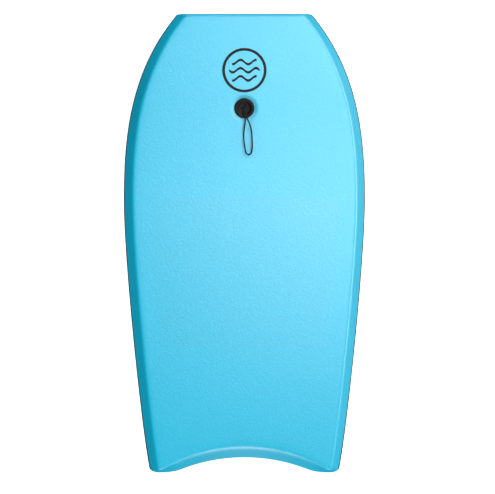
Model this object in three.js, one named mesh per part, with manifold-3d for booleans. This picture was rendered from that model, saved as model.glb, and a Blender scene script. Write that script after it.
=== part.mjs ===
// A bodyboard lying on its slick bottom: a laminate of foam sheets and strips with a screwed leash plug.
// Millimetres. +Z is up, +Y points to the nose and +X to the right of a rider lying on the deck.
// The origin is at floor height, midway along the board and midway across it.
// Along the board, s is the distance from the nose edge towards the tail.

import * as THREE from "three";
import { mergeVertices } from "three/addons/utils/BufferGeometryUtils.js";
import Module from "manifold-3d";

// Overall size
const LENGTH = 1067;
const HALF_WIDTH = 281;
const THICKNESS = 57;

// Outline seen from above
const NOSE_HALF = 156;
const NOSE_ANGLE = 50 * Math.PI / 180;
const NOSE_REACH = 170;
const NOSE_CORNER = 5;
const NOSE_CORNER_SHARE = 0.8;
const WIDEST_S = 430;
const WIDE_REACH = 150;
const TAIL_HALF = 221;
const TAIL_ANGLE = 12 * Math.PI / 180;
const TAIL_REACH = 80;
const TAIL_CORNER = 9;
const LOBE_HALF = 201;
const TAIL_NOTCH = 35;
const ROLL_X = 148;
const ROLL_INSET = 7;
const TAIL_BEVEL = 24;
const TAIL_STRIP = 6;
const TAIL_BEND = 250;

// Height profile along the board
const NOSE_LIFT = 45;
const FLAT_START_S = 430;
const ROCKER_POWER = 2.2;
const NOSE_THINNING = 14;
const NOSE_THIN_LENGTH = 195;
const TAIL_THINNING = 5;
const TAIL_THIN_LENGTH = 300;

// Edges of the cross-section
const WIDE_LINE = 0.42;
const FOOT_RISE = 1.5;
const CHINE = 20.5;
const CHINE_AT_NOSE = 16;
const CHINE_GROWTH_S = 150;
const CHINE_BLEND = 4.5;
const TUCK = 10;
const TUCK_SHARE = 0.4;
const TUCK_BOW = 0.45;
const LIP = 2;
const LIP_RISE = 1.2;

// Layers
const GAP = 0.3;
const TAIL_GAP = 0.75;
const SKIN = 5;
const SLICK = 1.2;
const RAIL = 6;
const NOSE_STRIP = 7;
const NOSE_ROUND = 6;
const RAIL_START_S = 0.8;
const SLICK_START_S = 3;

// Stringer: a glass tube in the middle of the core, behind the leash plug
const STRINGER_START_S = 262;
const STRINGER_Z = 28;
const STRINGER_R = 6;
const STRINGER_WALL = 1.5;
const STRINGER_MARGIN = 6;
const CAP_LENGTH = 8;

// Leash plug, in its own frame: Z up out of the deck, origin on the deck's surface
const PLUG_S = 219;
const SEAT = 0.8;
const FLANGE_R = 23.5;
const FLANGE_TOP = 3.6;
const RIM_R = 19;
const CUP_R = 11.5;
const STEM_R = 12.5;
const STEM_INNER_R = 9.8;
const STEM_DEPTH = 34;
const WEB_TOP = 0.5;
const WEB_BOTTOM = -3.5;
const BAR_R = 2.5;
const BAR_Z = 1;
const SLOT_HALF_WIDTH = 3.9;
const SLOT_HALF_LENGTH = 8.4;
const BASE_R = 20;
const BASE_THICK = 2.6;
const COIN_SLOT_LENGTH = 22;
const COIN_SLOT_WIDTH = 2.4;
const POST_TOP = -14;

// Leash string
const CORD = 3.2;
const HITCH_TURNS = 2;

// Grid steps
const STATIONS = 24;
const DECK_STEPS = 7;
const NOSE_STEPS = 4;
const TAIL_STEPS = 3;
const ROUND_STEPS = 32;
const ROD_STEPS = 16;
const CURVE_HALVINGS = 40;

const mix = (a, b, t) => a + (b - a) * t;
const ramp = (t) => Math.min(1, Math.max(0, t));
const smooth = (t) => ramp(t) ** 2 * (3 - 2 * ramp(t));

// Half-width of the outline: one curve from the nose corner to the widest line, one on to the tail corner.
const noseCurve = new THREE.CubicBezierCurve(
  new THREE.Vector2(NOSE_HALF, 0),
  new THREE.Vector2(NOSE_HALF + NOSE_REACH * Math.cos(NOSE_ANGLE), NOSE_REACH * Math.sin(NOSE_ANGLE)),
  new THREE.Vector2(HALF_WIDTH, WIDEST_S - WIDE_REACH),
  new THREE.Vector2(HALF_WIDTH, WIDEST_S),
);
const RAIL_END_S = LENGTH - TAIL_CORNER;
const tailCurve = new THREE.CubicBezierCurve(
  new THREE.Vector2(HALF_WIDTH, WIDEST_S),
  new THREE.Vector2(HALF_WIDTH, WIDEST_S + WIDE_REACH),
  new THREE.Vector2(
    TAIL_HALF + TAIL_REACH * Math.sin(TAIL_ANGLE),
    RAIL_END_S - TAIL_REACH * Math.cos(TAIL_ANGLE),
  ),
  new THREE.Vector2(TAIL_HALF, RAIL_END_S),
);

// The curve's x where its y is the given value, by halving the parameter's range.
function curveX(curve, y) {
  let low = 0;
  let high = 1;
  for (let i = 0; i < CURVE_HALVINGS; i++) {
    const middle = (low + high) / 2;
    if (curve.getPoint(middle).y < y) low = middle;
    else high = middle;
  }
  return curve.getPoint(low).x;
}

const outlineHalf = (s) => curveX(s < WIDEST_S ? noseCurve : tailCurve, s);

// How far a quarter-round edge has drawn back at a distance from its start.
const rounding = (distance, radius) => radius * (1 - Math.sqrt(1 - ramp(1 - distance / radius) ** 2));
const halfWidth = (s) => outlineHalf(s) - rounding(s, NOSE_CORNER) * NOSE_CORNER_SHARE;

// Height of the slick's underside and of the deck, and the widest line between them.
const bottomZ = (s) => NOSE_LIFT * ramp((FLAT_START_S - s) / FLAT_START_S) ** ROCKER_POWER;
const thickness = (s) => THICKNESS
  - NOSE_THINNING * ramp(1 - s / NOSE_THIN_LENGTH) ** 2
  - TAIL_THINNING * ramp(1 - (LENGTH - s) / TAIL_THIN_LENGTH) ** 2;
const heightZ = (s, share, rise) => bottomZ(s) + share * thickness(s) + rise;

// Along the tail: the outer edge is a hollow arc that rolls over into two lobes, and the deck ends at a
// second arc between the lobe tips. Beyond the tips both follow the rounded corner to the rail.
const rollCurve = new THREE.CubicBezierCurve(
  new THREE.Vector2(ROLL_INSET, ROLL_X),
  new THREE.Vector2(1, ROLL_X + 15),
  new THREE.Vector2(0, LOBE_HALF - 20),
  new THREE.Vector2(0, LOBE_HALF),
);
const cornerCurve = new THREE.CubicBezierCurve(
  new THREE.Vector2(0, LOBE_HALF),
  new THREE.Vector2(1, TAIL_HALF - 9),
  new THREE.Vector2(TAIL_CORNER - 4, TAIL_HALF - 1),
  new THREE.Vector2(TAIL_CORNER, TAIL_HALF),
);

// Inset of a circular arc from the line through its two ends.
function arcInset(x, sagitta, halfChord) {
  const radius = (halfChord ** 2 + sagitta ** 2) / (2 * sagitta);
  return sagitta - (radius - Math.sqrt(radius ** 2 - x ** 2));
}

function tailEdge(x) {
  const across = Math.abs(x);
  if (across >= LOBE_HALF) return LENGTH - curveX(cornerCurve, Math.min(across, TAIL_HALF));
  if (across >= ROLL_X) return LENGTH - curveX(rollCurve, across);
  return LENGTH - ROLL_INSET - arcInset(across, TAIL_NOTCH - ROLL_INSET, ROLL_X);
}

// The line where the deck sheet and the core end and the tail strip begins.
function deckEnd(x) {
  const across = Math.abs(x);
  if (across >= LOBE_HALF) {
    return LENGTH - TAIL_STRIP - TAIL_CORNER * (across - LOBE_HALF) / (TAIL_HALF - LOBE_HALF);
  }
  return Math.min(LENGTH - arcInset(x, TAIL_NOTCH + TAIL_BEVEL, LOBE_HALF), tailEdge(x) - TAIL_STRIP);
}

// Cross lines of the board are straight for most of its length and bend to the tail's curve at the end.
// railS is where such a line meets the rail; endLine gives the last line's s at each x.
function crossS(railS, x, endLine) {
  const blend = smooth((railS - (RAIL_END_S - TAIL_BEND)) / TAIL_BEND);
  const endX = x / halfWidth(railS) * TAIL_HALF;
  return railS + (endLine(endX) - RAIL_END_S) * blend;
}

const place = (x, s, z) => new THREE.Vector3(x, LENGTH / 2 - s, z);

// Distances across the board are stretched where the outline slants, so layers keep their thickness.
function slant(s) {
  const slope = outlineHalf(s + 1) - outlineHalf(Math.max(0, s - 1));
  return Math.hypot(1, slope / 2);
}

const chineWidth = (s) => mix(CHINE_AT_NOSE, CHINE, smooth(s / CHINE_GROWTH_S));

// The x of the chine's foot; depth moves it inwards, square to the chine.
function chineFoot(s, depth) {
  const drop = (1 - WIDE_LINE) * thickness(s) - FOOT_RISE;
  const run = chineWidth(s) - LIP;
  const side = depth * Math.hypot(run, drop) / drop;
  return halfWidth(s) - (LIP + side) * slant(s);
}

// How far the crease moves inwards when the surface is moved in by depth.
function creaseTurn(s, depth) {
  const drop = (1 - WIDE_LINE) * thickness(s) - FOOT_RISE;
  const run = chineWidth(s) - LIP;
  return depth * (Math.hypot(run, drop) - run) / drop;
}

// Where the flat of the deck starts, the same for every layer so that they share their columns.
function flatHalf(s) {
  return halfWidth(s) - (chineWidth(s) + creaseTurn(s, SKIN + GAP) + CHINE_BLEND) * slant(s);
}

function flatColumns(s) {
  const columns = [];
  for (let i = 0; i <= DECK_STEPS; i++) columns.push(flatHalf(s) * (1 - i / DECK_STEPS));
  return columns;
}

// One side of the deck surface, from the chine's foot to the middle, as [x, share of thickness, rise].
// depth moves it inwards, square to the deck and to the chine.
function topPath(s, depth) {
  const crease = halfWidth(s) - (chineWidth(s) + creaseTurn(s, depth)) * slant(s);
  const blend = CHINE_BLEND * chineWidth(s) / CHINE;
  const fall = blend * ((1 - WIDE_LINE) * thickness(s) - FOOT_RISE) / (chineWidth(s) - LIP);
  return [
    [chineFoot(s, depth), WIDE_LINE, FOOT_RISE],
    [crease + blend * slant(s), 1, -fall - depth],
    [crease, 1, -fall * 0.3 - depth],
    ...flatColumns(s).map((x) => [x, 1, -depth]),
  ];
}

// A half path from the right rail to the middle becomes the whole cross line, left to right.
function bothSides(path) {
  const left = path.slice(0, -1).map(([x, share, rise]) => [-x, share, rise]);
  return [...left, ...[...path].reverse()];
}

// Rail stations from the nose strip to the tail corner, closer together towards both ends.
function stations(first) {
  const list = [];
  for (let i = 0; i <= STATIONS; i++) {
    const share = (1 - Math.cos(Math.PI * i / STATIONS)) / 2;
    list.push(mix(first, RAIL_END_S, share));
  }
  return list;
}

// A closed slab between two grids of points of the same size: two faces and four edges.
// Its four-sided faces are split the opposite way on the left half, so that both halves mirror.
function slab(upper, lower) {
  const rows = upper.length;
  const columns = upper[0].length;
  const points = [...upper.flat(), ...lower.flat()];
  const index = [];
  const at = (layer, i, j) => layer * rows * columns + i * columns + j;
  const quad = (a, b, c, d) => index.push(a, b, c, a, c, d);
  const mirrorQuad = (j, a, b, c, d) => (2 * j < columns - 1 ? quad(b, c, d, a) : quad(a, b, c, d));
  for (let i = 0; i + 1 < rows; i++) {
    for (let j = 0; j + 1 < columns; j++) {
      mirrorQuad(j, at(0, i, j), at(0, i + 1, j), at(0, i + 1, j + 1), at(0, i, j + 1));
      mirrorQuad(j, at(1, i + 1, j), at(1, i, j), at(1, i, j + 1), at(1, i + 1, j + 1));
    }
    quad(at(0, i, 0), at(1, i, 0), at(1, i + 1, 0), at(0, i + 1, 0));
    quad(at(1, i, columns - 1), at(0, i, columns - 1), at(0, i + 1, columns - 1), at(1, i + 1, columns - 1));
  }
  const last = rows - 1;
  for (let j = 0; j + 1 < columns; j++) {
    mirrorQuad(j, at(1, 0, j), at(0, 0, j), at(0, 0, j + 1), at(1, 0, j + 1));
    mirrorQuad(j, at(0, last, j), at(1, last, j), at(1, last, j + 1), at(0, last, j + 1));
  }
  const geometry = new THREE.BufferGeometry().setFromPoints(points);
  geometry.setIndex(index);
  geometry.computeVertexNormals();
  return geometry;
}

// Runs a cross path along the board: one row of points for each station.
function alongBoard(path, endLine, endGap, first) {
  return stations(first).map((railS) => {
    const back = endGap * smooth((railS - (RAIL_END_S - TAIL_BEND)) / TAIL_BEND);
    return path(railS).map(([x, share, rise]) => {
      const s = crossS(railS, x, endLine) - back;
      return place(x, s, heightZ(s, share, rise));
    });
  });
}

// Solids that are cut or joined pass through manifold-3d.
const wasm = await Module();
wasm.setup();

function toSolid(geometry) {
  const bare = geometry.clone();
  bare.deleteAttribute("normal");
  bare.deleteAttribute("uv");
  const merged = mergeVertices(bare, 1e-3);
  return new wasm.Manifold(new wasm.Mesh({
    numProp: 3,
    vertProperties: new Float32Array(merged.attributes.position.array),
    triVerts: new Uint32Array(merged.index.array),
  }));
}

function toGeometry(solid) {
  const mesh = solid.getMesh();
  const geometry = new THREE.BufferGeometry();
  geometry.setAttribute("position", new THREE.BufferAttribute(mesh.vertProperties, 3));
  geometry.setIndex(new THREE.BufferAttribute(mesh.triVerts, 1));
  geometry.computeVertexNormals();
  return geometry;
}

function cut(geometry, ...tools) {
  const rest = tools.reduce((solid, tool) => solid.subtract(toSolid(tool)), toSolid(geometry));
  return toGeometry(rest);
}

// A cylinder along the board's length, between two values of s.
function rodAlong(radius, firstS, lastS, z) {
  const rod = new THREE.CylinderGeometry(radius, radius, lastS - firstS, ROD_STEPS);
  return rod.translate(0, LENGTH / 2 - (firstS + lastS) / 2, z);
}

// Where the leash plug stands: on the deck's centreline, tilted with the deck.
const plugSlope = Math.atan((heightZ(PLUG_S - 1, 1, 0) - heightZ(PLUG_S + 1, 1, 0)) / 2);
const plugFrame = new THREE.Matrix4()
  .makeRotationX(plugSlope)
  .setPosition(place(0, PLUG_S, heightZ(PLUG_S, 1, 0)));
const plugDepth = THICKNESS * Math.cos(plugSlope);

function plugHole(radius) {
  const hole = new THREE.CylinderGeometry(radius, radius, 3 * plugDepth, ROUND_STEPS);
  return hole.rotateX(Math.PI / 2).applyMatrix4(plugFrame);
}

function makeDeckSkin() {
  const outer = alongBoard((s) => bothSides(topPath(s, 0)), deckEnd, TAIL_GAP, NOSE_STRIP + GAP);
  const inner = alongBoard((s) => bothSides(topPath(s, SKIN)), deckEnd, TAIL_GAP, NOSE_STRIP + GAP);
  return cut(slab(outer, inner), plugHole(STEM_R + 2 * GAP));
}

// The core's underside follows the slick and its flanks follow the rails.
function corePath(s) {
  const edge = halfWidth(s) - (TUCK + RAIL + GAP) * slant(s);
  const flat = flatHalf(s);
  const across = [edge, mix(edge, flat, 0.4), mix(edge, flat, 0.7), ...flatColumns(s)];
  return across.map((x) => [x, 0, SLICK + GAP]);
}

function makeCore() {
  const upper = alongBoard((s) => bothSides(topPath(s, SKIN + GAP)), deckEnd, TAIL_GAP, NOSE_STRIP + GAP);
  const lower = alongBoard((s) => bothSides(corePath(s)), deckEnd, TAIL_GAP, NOSE_STRIP + GAP);
  const bore = rodAlong(STRINGER_R + GAP, STRINGER_START_S - GAP, LENGTH, STRINGER_Z);
  return cut(slab(upper, lower), plugHole(STEM_R + 2 * GAP), bore);
}

// A rail strip: its outer face runs from the widest line down to the slick's edge.
const railOuter = (s) => [
  [halfWidth(s) - LIP * 0.3 * slant(s), WIDE_LINE, LIP_RISE],
  [halfWidth(s), WIDE_LINE, 0],
  [halfWidth(s) - TUCK_BOW * TUCK * slant(s), WIDE_LINE / 2, 0],
  [halfWidth(s) - TUCK * slant(s), 0, SLICK + GAP],
];
const railInner = (s) => [
  [chineFoot(s, SKIN), WIDE_LINE, LIP_RISE],
  [chineFoot(s, SKIN) - GAP * slant(s), WIDE_LINE, 0],
  [halfWidth(s) - (TUCK_BOW * TUCK + RAIL) * slant(s), WIDE_LINE / 2, 0],
  [halfWidth(s) - (TUCK + RAIL) * slant(s), 0, SLICK + GAP],
];

function makeRail(side) {
  const mirror = (path) => (s) => path(s).map(([x, share, rise]) => [side * x, share, rise]);
  const outer = alongBoard(mirror(railOuter), tailEdge, GAP, RAIL_START_S);
  const inner = alongBoard(mirror(railInner), tailEdge, GAP, RAIL_START_S);
  return side > 0 ? slab(outer, inner) : slab(inner, outer);
}

// At the tail the underside tucks in by TUCK, or by a share of the strip where that is narrow.
const tailTuck = (x) => Math.min(TUCK, TUCK_SHARE * (tailEdge(x) - deckEnd(x)));
const slickEnd = (x) => tailEdge(x) - tailTuck(x);

function makeSlick() {
  const path = (rise) => (s) => {
    const half = [];
    const edge = halfWidth(s) - TUCK * slant(s);
    for (let i = 0; i <= DECK_STEPS; i++) half.push([edge * (1 - i / DECK_STEPS), 0, rise]);
    return bothSides(half);
  };
  const upper = alongBoard(path(SLICK), slickEnd, 0, SLICK_START_S);
  const lower = alongBoard(path(0), slickEnd, 0, SLICK_START_S);
  return cut(slab(upper, lower), plugHole(STEM_R + 2 * GAP));
}

// The underside of an end strip: it stands between the rails, on the slick.
function stripUnderside(s, rise) {
  const edge = halfWidth(s) - (TUCK + RAIL + GAP) * slant(s);
  return [
    [chineFoot(s, SKIN + GAP), WIDE_LINE, FOOT_RISE],
    [edge, 0, SLICK + GAP + rise],
    [mix(edge, flatHalf(s), 0.5), 0, SLICK + GAP + rise],
    ...flatColumns(s).map((x) => [x, 0, SLICK + GAP + rise]),
  ];
}

// The nose strip carries on the deck's surface and rounds off forwards.
function makeNoseBumper() {
  const upper = [];
  const lower = [];
  const row = (path, s) => bothSides(path).map(([x, share, rise]) => place(x, s, heightZ(s, share, rise)));
  for (let i = 0; i <= NOSE_STEPS; i++) {
    const s = NOSE_STRIP * (1 - Math.cos(Math.PI / 2 * i / NOSE_STEPS));
    const fall = rounding(s, NOSE_ROUND);
    upper.push(row(topPath(s, 0).map(([x, share, rise], j) => [x, share, j > 0 ? rise - fall : rise]), s));
    lower.push(row(stripUnderside(s, rounding(s, SLICK_START_S)), s));
  }
  return slab(upper, lower);
}

// The tail strip: its top slopes from the deck's end down to the widest line at the hollow tail edge.
function makeTailBumper() {
  const upper = [];
  const lower = [];
  for (let i = 0; i <= TAIL_STEPS; i++) {
    const share = i / TAIL_STEPS;
    upper.push(bothSides(topPath(RAIL_END_S, 0)).map(([x, level, rise]) => {
      const s = mix(deckEnd(x), tailEdge(x), share);
      return place(x, s, mix(heightZ(s, level, rise), heightZ(s, WIDE_LINE, FOOT_RISE), share));
    }));
    lower.push(bothSides(stripUnderside(RAIL_END_S, 0)).map(([x, level, rise]) => {
      const s = mix(deckEnd(x), slickEnd(x), share);
      return place(x, s, heightZ(s, level, rise));
    }));
  }
  return slab(upper, lower);
}

const STRINGER_END_S = deckEnd(0) - STRINGER_MARGIN;

function makeStringer() {
  const first = STRINGER_START_S + GAP;
  const rod = rodAlong(STRINGER_R, first, STRINGER_END_S, STRINGER_Z);
  const hollow = rodAlong(STRINGER_R - STRINGER_WALL, first - 1, STRINGER_END_S + 1, STRINGER_Z);
  return cut(rod, hollow);
}

function makeStringerCap(startS) {
  const first = startS + GAP;
  return rodAlong(STRINGER_R - STRINGER_WALL - GAP, first, first + CAP_LENGTH, STRINGER_Z);
}

const revolve = (profile) => {
  const points = profile.map(([r, z]) => new THREE.Vector2(r, z));
  return new THREE.LatheGeometry(points, ROUND_STEPS).rotateX(Math.PI / 2);
};

// Upper plug half: a low domed flange, a dished cup with a slotted floor, and a hollow stem.
function makePlugTop() {
  const body = revolve([
    [0, WEB_BOTTOM],
    [STEM_INNER_R, WEB_BOTTOM],
    [STEM_INNER_R, -STEM_DEPTH],
    [STEM_R, -STEM_DEPTH],
    [STEM_R, SEAT],
    [FLANGE_R - 0.5, SEAT],
    [FLANGE_R, SEAT + 0.7],
    [FLANGE_R - 1.2, SEAT + 2],
    [RIM_R + 1, FLANGE_TOP],
    [RIM_R - 1, FLANGE_TOP],
    [CUP_R + 3, WEB_TOP + 1.2],
    [CUP_R, WEB_TOP],
    [0, WEB_TOP],
  ]);
  const slot = new THREE.BoxGeometry(2 * SLOT_HALF_WIDTH, 2 * SLOT_HALF_LENGTH, 12).translate(0, 0, -2);
  const bar = new THREE.CylinderGeometry(BAR_R, BAR_R, 4 * SLOT_HALF_WIDTH, ROD_STEPS);
  bar.rotateZ(Math.PI / 2).translate(0, 0, BAR_Z);
  return toGeometry(toSolid(body).subtract(toSolid(slot)).add(toSolid(bar)));
}

// Lower plug half: a coin-slotted base under the slick and a post inside the stem.
function makePlugBottom() {
  const postR = STEM_INNER_R - GAP;
  const top = -plugDepth - SEAT;
  const body = revolve([
    [0, top - BASE_THICK],
    [BASE_R - 3, top - BASE_THICK],
    [BASE_R, top - 0.8],
    [BASE_R, top],
    [postR, top],
    [postR, POST_TOP],
    [0, POST_TOP],
  ]);
  const coinSlot = new THREE.BoxGeometry(COIN_SLOT_LENGTH, COIN_SLOT_WIDTH, COIN_SLOT_WIDTH);
  return cut(body, coinSlot.translate(0, 0, top - BASE_THICK));
}

// The string's turns round the cross bar, drawn as one sleeve.
function makeHitch() {
  const inner = BAR_R + GAP;
  const outer = inner + CORD;
  const half = HITCH_TURNS * CORD / 2;
  const ease = CORD / 4;
  const sleeve = [
    [inner, -half + ease],
    [inner + ease, -half],
    [outer - ease, -half],
    [outer, -half + ease],
    [outer, half - ease],
    [outer - ease, half],
    [inner + ease, half],
    [inner, half - ease],
    [inner, -half + ease],
  ];
  const points = sleeve.map(([r, x]) => new THREE.Vector2(r, x));
  return new THREE.LatheGeometry(points, 24).rotateZ(-Math.PI / 2).translate(0, 0, BAR_Z);
}

// The loop's route in the plug's frame, by hand: off the top of the hitch, over the rim, round and back.
const LOOP_ROUTE = [
  [1.7, -5.8, 5.4],
  [2.8, -13, 5.5],
  [5.2, -20, 5.9],
  [8.0, -27, 6.5],
  [11.2, -34, 6.6],
  [14.2, -42, 6.6],
  [16.2, -51, 6.4],
  [17.3, -61, 6.6],
  [18.0, -72, 6.9],
  [18.4, -83, 7.2],
  [18.2, -92, 7.5],
  [17.6, -98.2, 7.7],
  [16.4, -103.3, 7.9],
  [13.8, -106.4, 8.0],
  [10.2, -107.5, 8.0],
  [6.6, -106.4, 8.0],
  [4.0, -103.3, 7.9],
  [2.3, -97.6, 7.7],
  [1.0, -90, 7.4],
  [-0.6, -80, 7.0],
  [-1.4, -69, 6.7],
  [-1.2, -58, 6.4],
  [-0.2, -47, 6.5],
  [1.2, -37, 6.6],
  [2.2, -28, 6.5],
  [1.7, -20.5, 5.9],
  [-0.6, -13, 5.5],
  [-1.7, -5.8, 5.4],
];

function makeLoop() {
  const points = LOOP_ROUTE.map(([x, y, z]) => new THREE.Vector3(x, y, z));
  const path = new THREE.CatmullRomCurve3(points, false, "centripetal");
  const section = new THREE.Shape();
  section.absarc(0, 0, CORD / 2, 0, 2 * Math.PI);
  return new THREE.ExtrudeGeometry(section, {
    extrudePath: path,
    steps: Math.round(path.getLength() / (2 * CORD)),
    curveSegments: 8,
    bevelEnabled: false,
  });
}

const DECK_FOAM = { color: 0x6ccdf0, roughness: 0.62, metalness: 0 };
const BUMPER_FOAM = { color: 0x2fb8e2, roughness: 0.6, metalness: 0 };
const CORE_FOAM = { color: 0xe9eef0, roughness: 0.8, metalness: 0 };
const RAIL_FOAM = { color: 0x1c1d1f, roughness: 0.6, metalness: 0 };
const SLICK_SHEET = { color: 0x24262a, roughness: 0.25, metalness: 0 };
const GLASS_TUBE = { color: 0xc9c6a8, roughness: 0.35, metalness: 0 };
const SOFT_CAP = { color: 0x303030, roughness: 0.8, metalness: 0 };
const BLACK_NYLON = { color: 0x222122, roughness: 0.4, metalness: 0 };
const BLUE_NYLON = { color: 0x2e7f9c, roughness: 0.4, metalness: 0 };
const BLACK_CORD = { color: 0x1b1b1d, roughness: 0.75, metalness: 0 };

function named(name, geometry, look) {
  const mesh = new THREE.Mesh(geometry, new THREE.MeshStandardMaterial(look));
  mesh.name = name;
  return mesh;
}

const bodyboard = new THREE.Group();
bodyboard.add(
  named("foam_core", makeCore(), CORE_FOAM),
  named("stringer_tube", makeStringer(), GLASS_TUBE),
  named("stringer_cap_front", makeStringerCap(STRINGER_START_S), SOFT_CAP),
  named("stringer_cap_rear", makeStringerCap(STRINGER_END_S - CAP_LENGTH - 2 * GAP), SOFT_CAP),
  named("deck_skin", makeDeckSkin(), DECK_FOAM),
  named("rail_left", makeRail(-1), RAIL_FOAM),
  named("rail_right", makeRail(1), RAIL_FOAM),
  named("nose_bumper", makeNoseBumper(), BUMPER_FOAM),
  named("tail_bumper", makeTailBumper(), BUMPER_FOAM),
  named("slick_bottom", makeSlick(), SLICK_SHEET),
);

const leashPlug = new THREE.Group();
leashPlug.rotation.x = plugSlope;
leashPlug.position.copy(place(0, PLUG_S, heightZ(PLUG_S, 1, 0)));
leashPlug.add(
  named("leash_plug_top", makePlugTop(), BLACK_NYLON),
  named("leash_plug_bottom", makePlugBottom(), BLUE_NYLON),
  named("leash_hitch", makeHitch(), BLACK_CORD),
  named("leash_loop", makeLoop(), BLACK_CORD),
);
bodyboard.add(leashPlug);

export default bodyboard;
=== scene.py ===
# %% [markdown]
# # A bodyboard, lying on its slick bottom
#
# A bodyboard is a sandwich of foam: a thick core, a soft deck sheet that wraps over slanted edges called
# chines, dense strips round the rails, nose and tail, and a thin slick plastic sheet underneath. A round
# leash plug is screwed through it, with a small loop of string for the leash.
#
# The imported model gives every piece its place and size. This lesson makes the fine surface of each
# piece that can be seen, and the materials, and leaves the hidden core and its stiffening tube as they are.

import bmesh
import bpy
import numpy as np
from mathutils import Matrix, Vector


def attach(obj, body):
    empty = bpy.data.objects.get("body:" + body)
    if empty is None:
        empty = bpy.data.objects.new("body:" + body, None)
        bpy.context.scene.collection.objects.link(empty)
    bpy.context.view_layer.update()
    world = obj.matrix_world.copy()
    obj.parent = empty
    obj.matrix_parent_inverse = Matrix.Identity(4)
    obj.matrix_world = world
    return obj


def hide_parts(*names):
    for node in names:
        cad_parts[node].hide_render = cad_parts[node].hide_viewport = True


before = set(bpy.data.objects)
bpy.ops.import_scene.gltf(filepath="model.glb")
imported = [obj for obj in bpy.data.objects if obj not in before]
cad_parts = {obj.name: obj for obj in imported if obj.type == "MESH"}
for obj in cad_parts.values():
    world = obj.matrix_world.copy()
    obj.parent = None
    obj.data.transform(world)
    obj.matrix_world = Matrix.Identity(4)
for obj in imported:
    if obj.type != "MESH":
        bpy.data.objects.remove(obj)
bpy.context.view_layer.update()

MM = 0.001

# %% [markdown]
# ## Sizes of the board
#
# Lengths are in millimetres here, as a shaper would give them, and turn into metres only when a mesh is
# made. `s` is the distance from the nose edge towards the tail, `x` is the distance to the right.

# %% Driving sizes
LENGTH = 1067
HALF_WIDTH = 281
THICKNESS = 57
NOSE_HALF = 156
NOSE_CORNER = 5
NOSE_LIFT = 45
LIFT_START_S = 430
WIDEST_S = 430
TAIL_HALF = 221
TAIL_CORNER = 9
LOBE_HALF = 201
TAIL_NOTCH = 35
TAIL_BEVEL = 24
TAIL_STRIP = 6
TAIL_BEND = 250
RAIL_END_S = LENGTH - TAIL_CORNER
WIDE_LINE = 0.42
FOOT_RISE = 1.5
CHINE = 20.5
CHINE_AT_NOSE = 16
TUCK = 10
LIP = 2
SKIN = 5
SLICK = 1.2
RAIL = 6
GLUE_GAP = 0.3
NOSE_STRIP = 7
NOSE_ROUND = 6
PLUG_S = 219
FLANGE_R = 23.5
DIMPLE_DEPTH = 1.5
DIMPLE_WIDTH = 11

# %% [markdown]
# ## The camera
#
# The board is seen from straight above, from far away through a long lens, so that its outline shows
# with almost no perspective. The camera comes first because the string is judged by what it sees.

# %% Camera
LENS_MM = 600
SENSOR_MM = 36
FRAME_HEIGHT = 1.1526
FRAME_CENTRE = (0.0072, -0.0082)

camera = bpy.data.objects.new("camera", bpy.data.cameras.new("camera"))
bpy.context.scene.collection.objects.link(camera)
camera.data.lens = LENS_MM
camera.data.sensor_width = SENSOR_MM
camera.location = (*FRAME_CENTRE, 0.03 + FRAME_HEIGHT * LENS_MM / SENSOR_MM)
bpy.context.scene.camera = camera
print("camera height", round(camera.location.z, 2), "m")

# %% [markdown]
# ## Turning arrays into meshes
#
# Most pieces are slabs: an upper and a lower grid of points of the same size, joined round their four
# edges. The faces are worked out as whole arrays of corner numbers, so no loop runs over the vertices.

# %% Mesh helpers
def add_piece(name, points, faces):
    """A mesh object at the origin from an array of points in millimetres and a list of face arrays."""
    mesh = bpy.data.meshes.new(name)
    mesh.from_pydata(np.asarray(points) * MM, [], [f for array in faces for f in array.tolist()])
    mesh.validate()
    piece = bpy.data.objects.new(name, mesh)
    bpy.context.scene.collection.objects.link(piece)
    mesh.polygons.foreach_set("use_smooth", np.ones(len(mesh.polygons), dtype=bool))
    return piece


def quads(number, turned=False):
    """Faces of a grid of corner numbers: each takes a corner, the one below, its right and the one above."""
    corners = [number[:-1, :-1], number[1:, :-1], number[1:, 1:], number[:-1, 1:]]
    if turned:
        corners.reverse()
    return np.stack([c.ravel() for c in corners], axis=1)


def slab(name, upper, lower):
    """A closed body: the two grids, and a strip of faces between them along each of the four edges."""
    rows, columns = upper.shape[:2]
    top = np.arange(rows * columns).reshape(rows, columns)
    under = top + rows * columns
    walls = [
        quads(np.stack([top[:, 0], under[:, 0]], axis=1), turned=True),
        quads(np.stack([top[:, -1], under[:, -1]], axis=1)),
        quads(np.stack([top[0], under[0]], axis=1)),
        quads(np.stack([top[-1], under[-1]], axis=1), turned=True),
    ]
    points = np.concatenate([upper.reshape(-1, 3), lower.reshape(-1, 3)])
    return add_piece(name, points, [quads(top), quads(under, turned=True), *walls])


def soften(piece, width, segments=2, angle=40):
    """Rounds the sharp edges of a piece: foam and moulded plastic never have a knife edge."""
    bevel = piece.modifiers.new("rounded edges", "BEVEL")
    bevel.width = width * MM
    bevel.segments = segments
    bevel.limit_method = "ANGLE"
    bevel.angle_limit = np.radians(angle)
    bevel.harden_normals = False
    bake(piece)


def bake(piece):
    """Writes a piece's modifiers into its mesh, and welds corners that they left on one spot."""
    graph = bpy.context.evaluated_depsgraph_get()
    done = bpy.data.meshes.new_from_object(piece.evaluated_get(graph))
    piece.modifiers.clear()
    piece.data = done
    welded = bmesh.new()
    welded.from_mesh(done)
    bmesh.ops.remove_doubles(welded, verts=welded.verts, dist=0.001 * MM)
    welded.to_mesh(done)
    welded.free()


def combine(piece, tool, operation):
    """Cuts the tool's solid out of the piece, or joins it on, and removes the tool."""
    boolean = piece.modifiers.new("combine", "BOOLEAN")
    boolean.operation = operation
    boolean.solver = "EXACT"
    boolean.object = tool
    bake(piece)
    bpy.data.objects.remove(tool)

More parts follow.
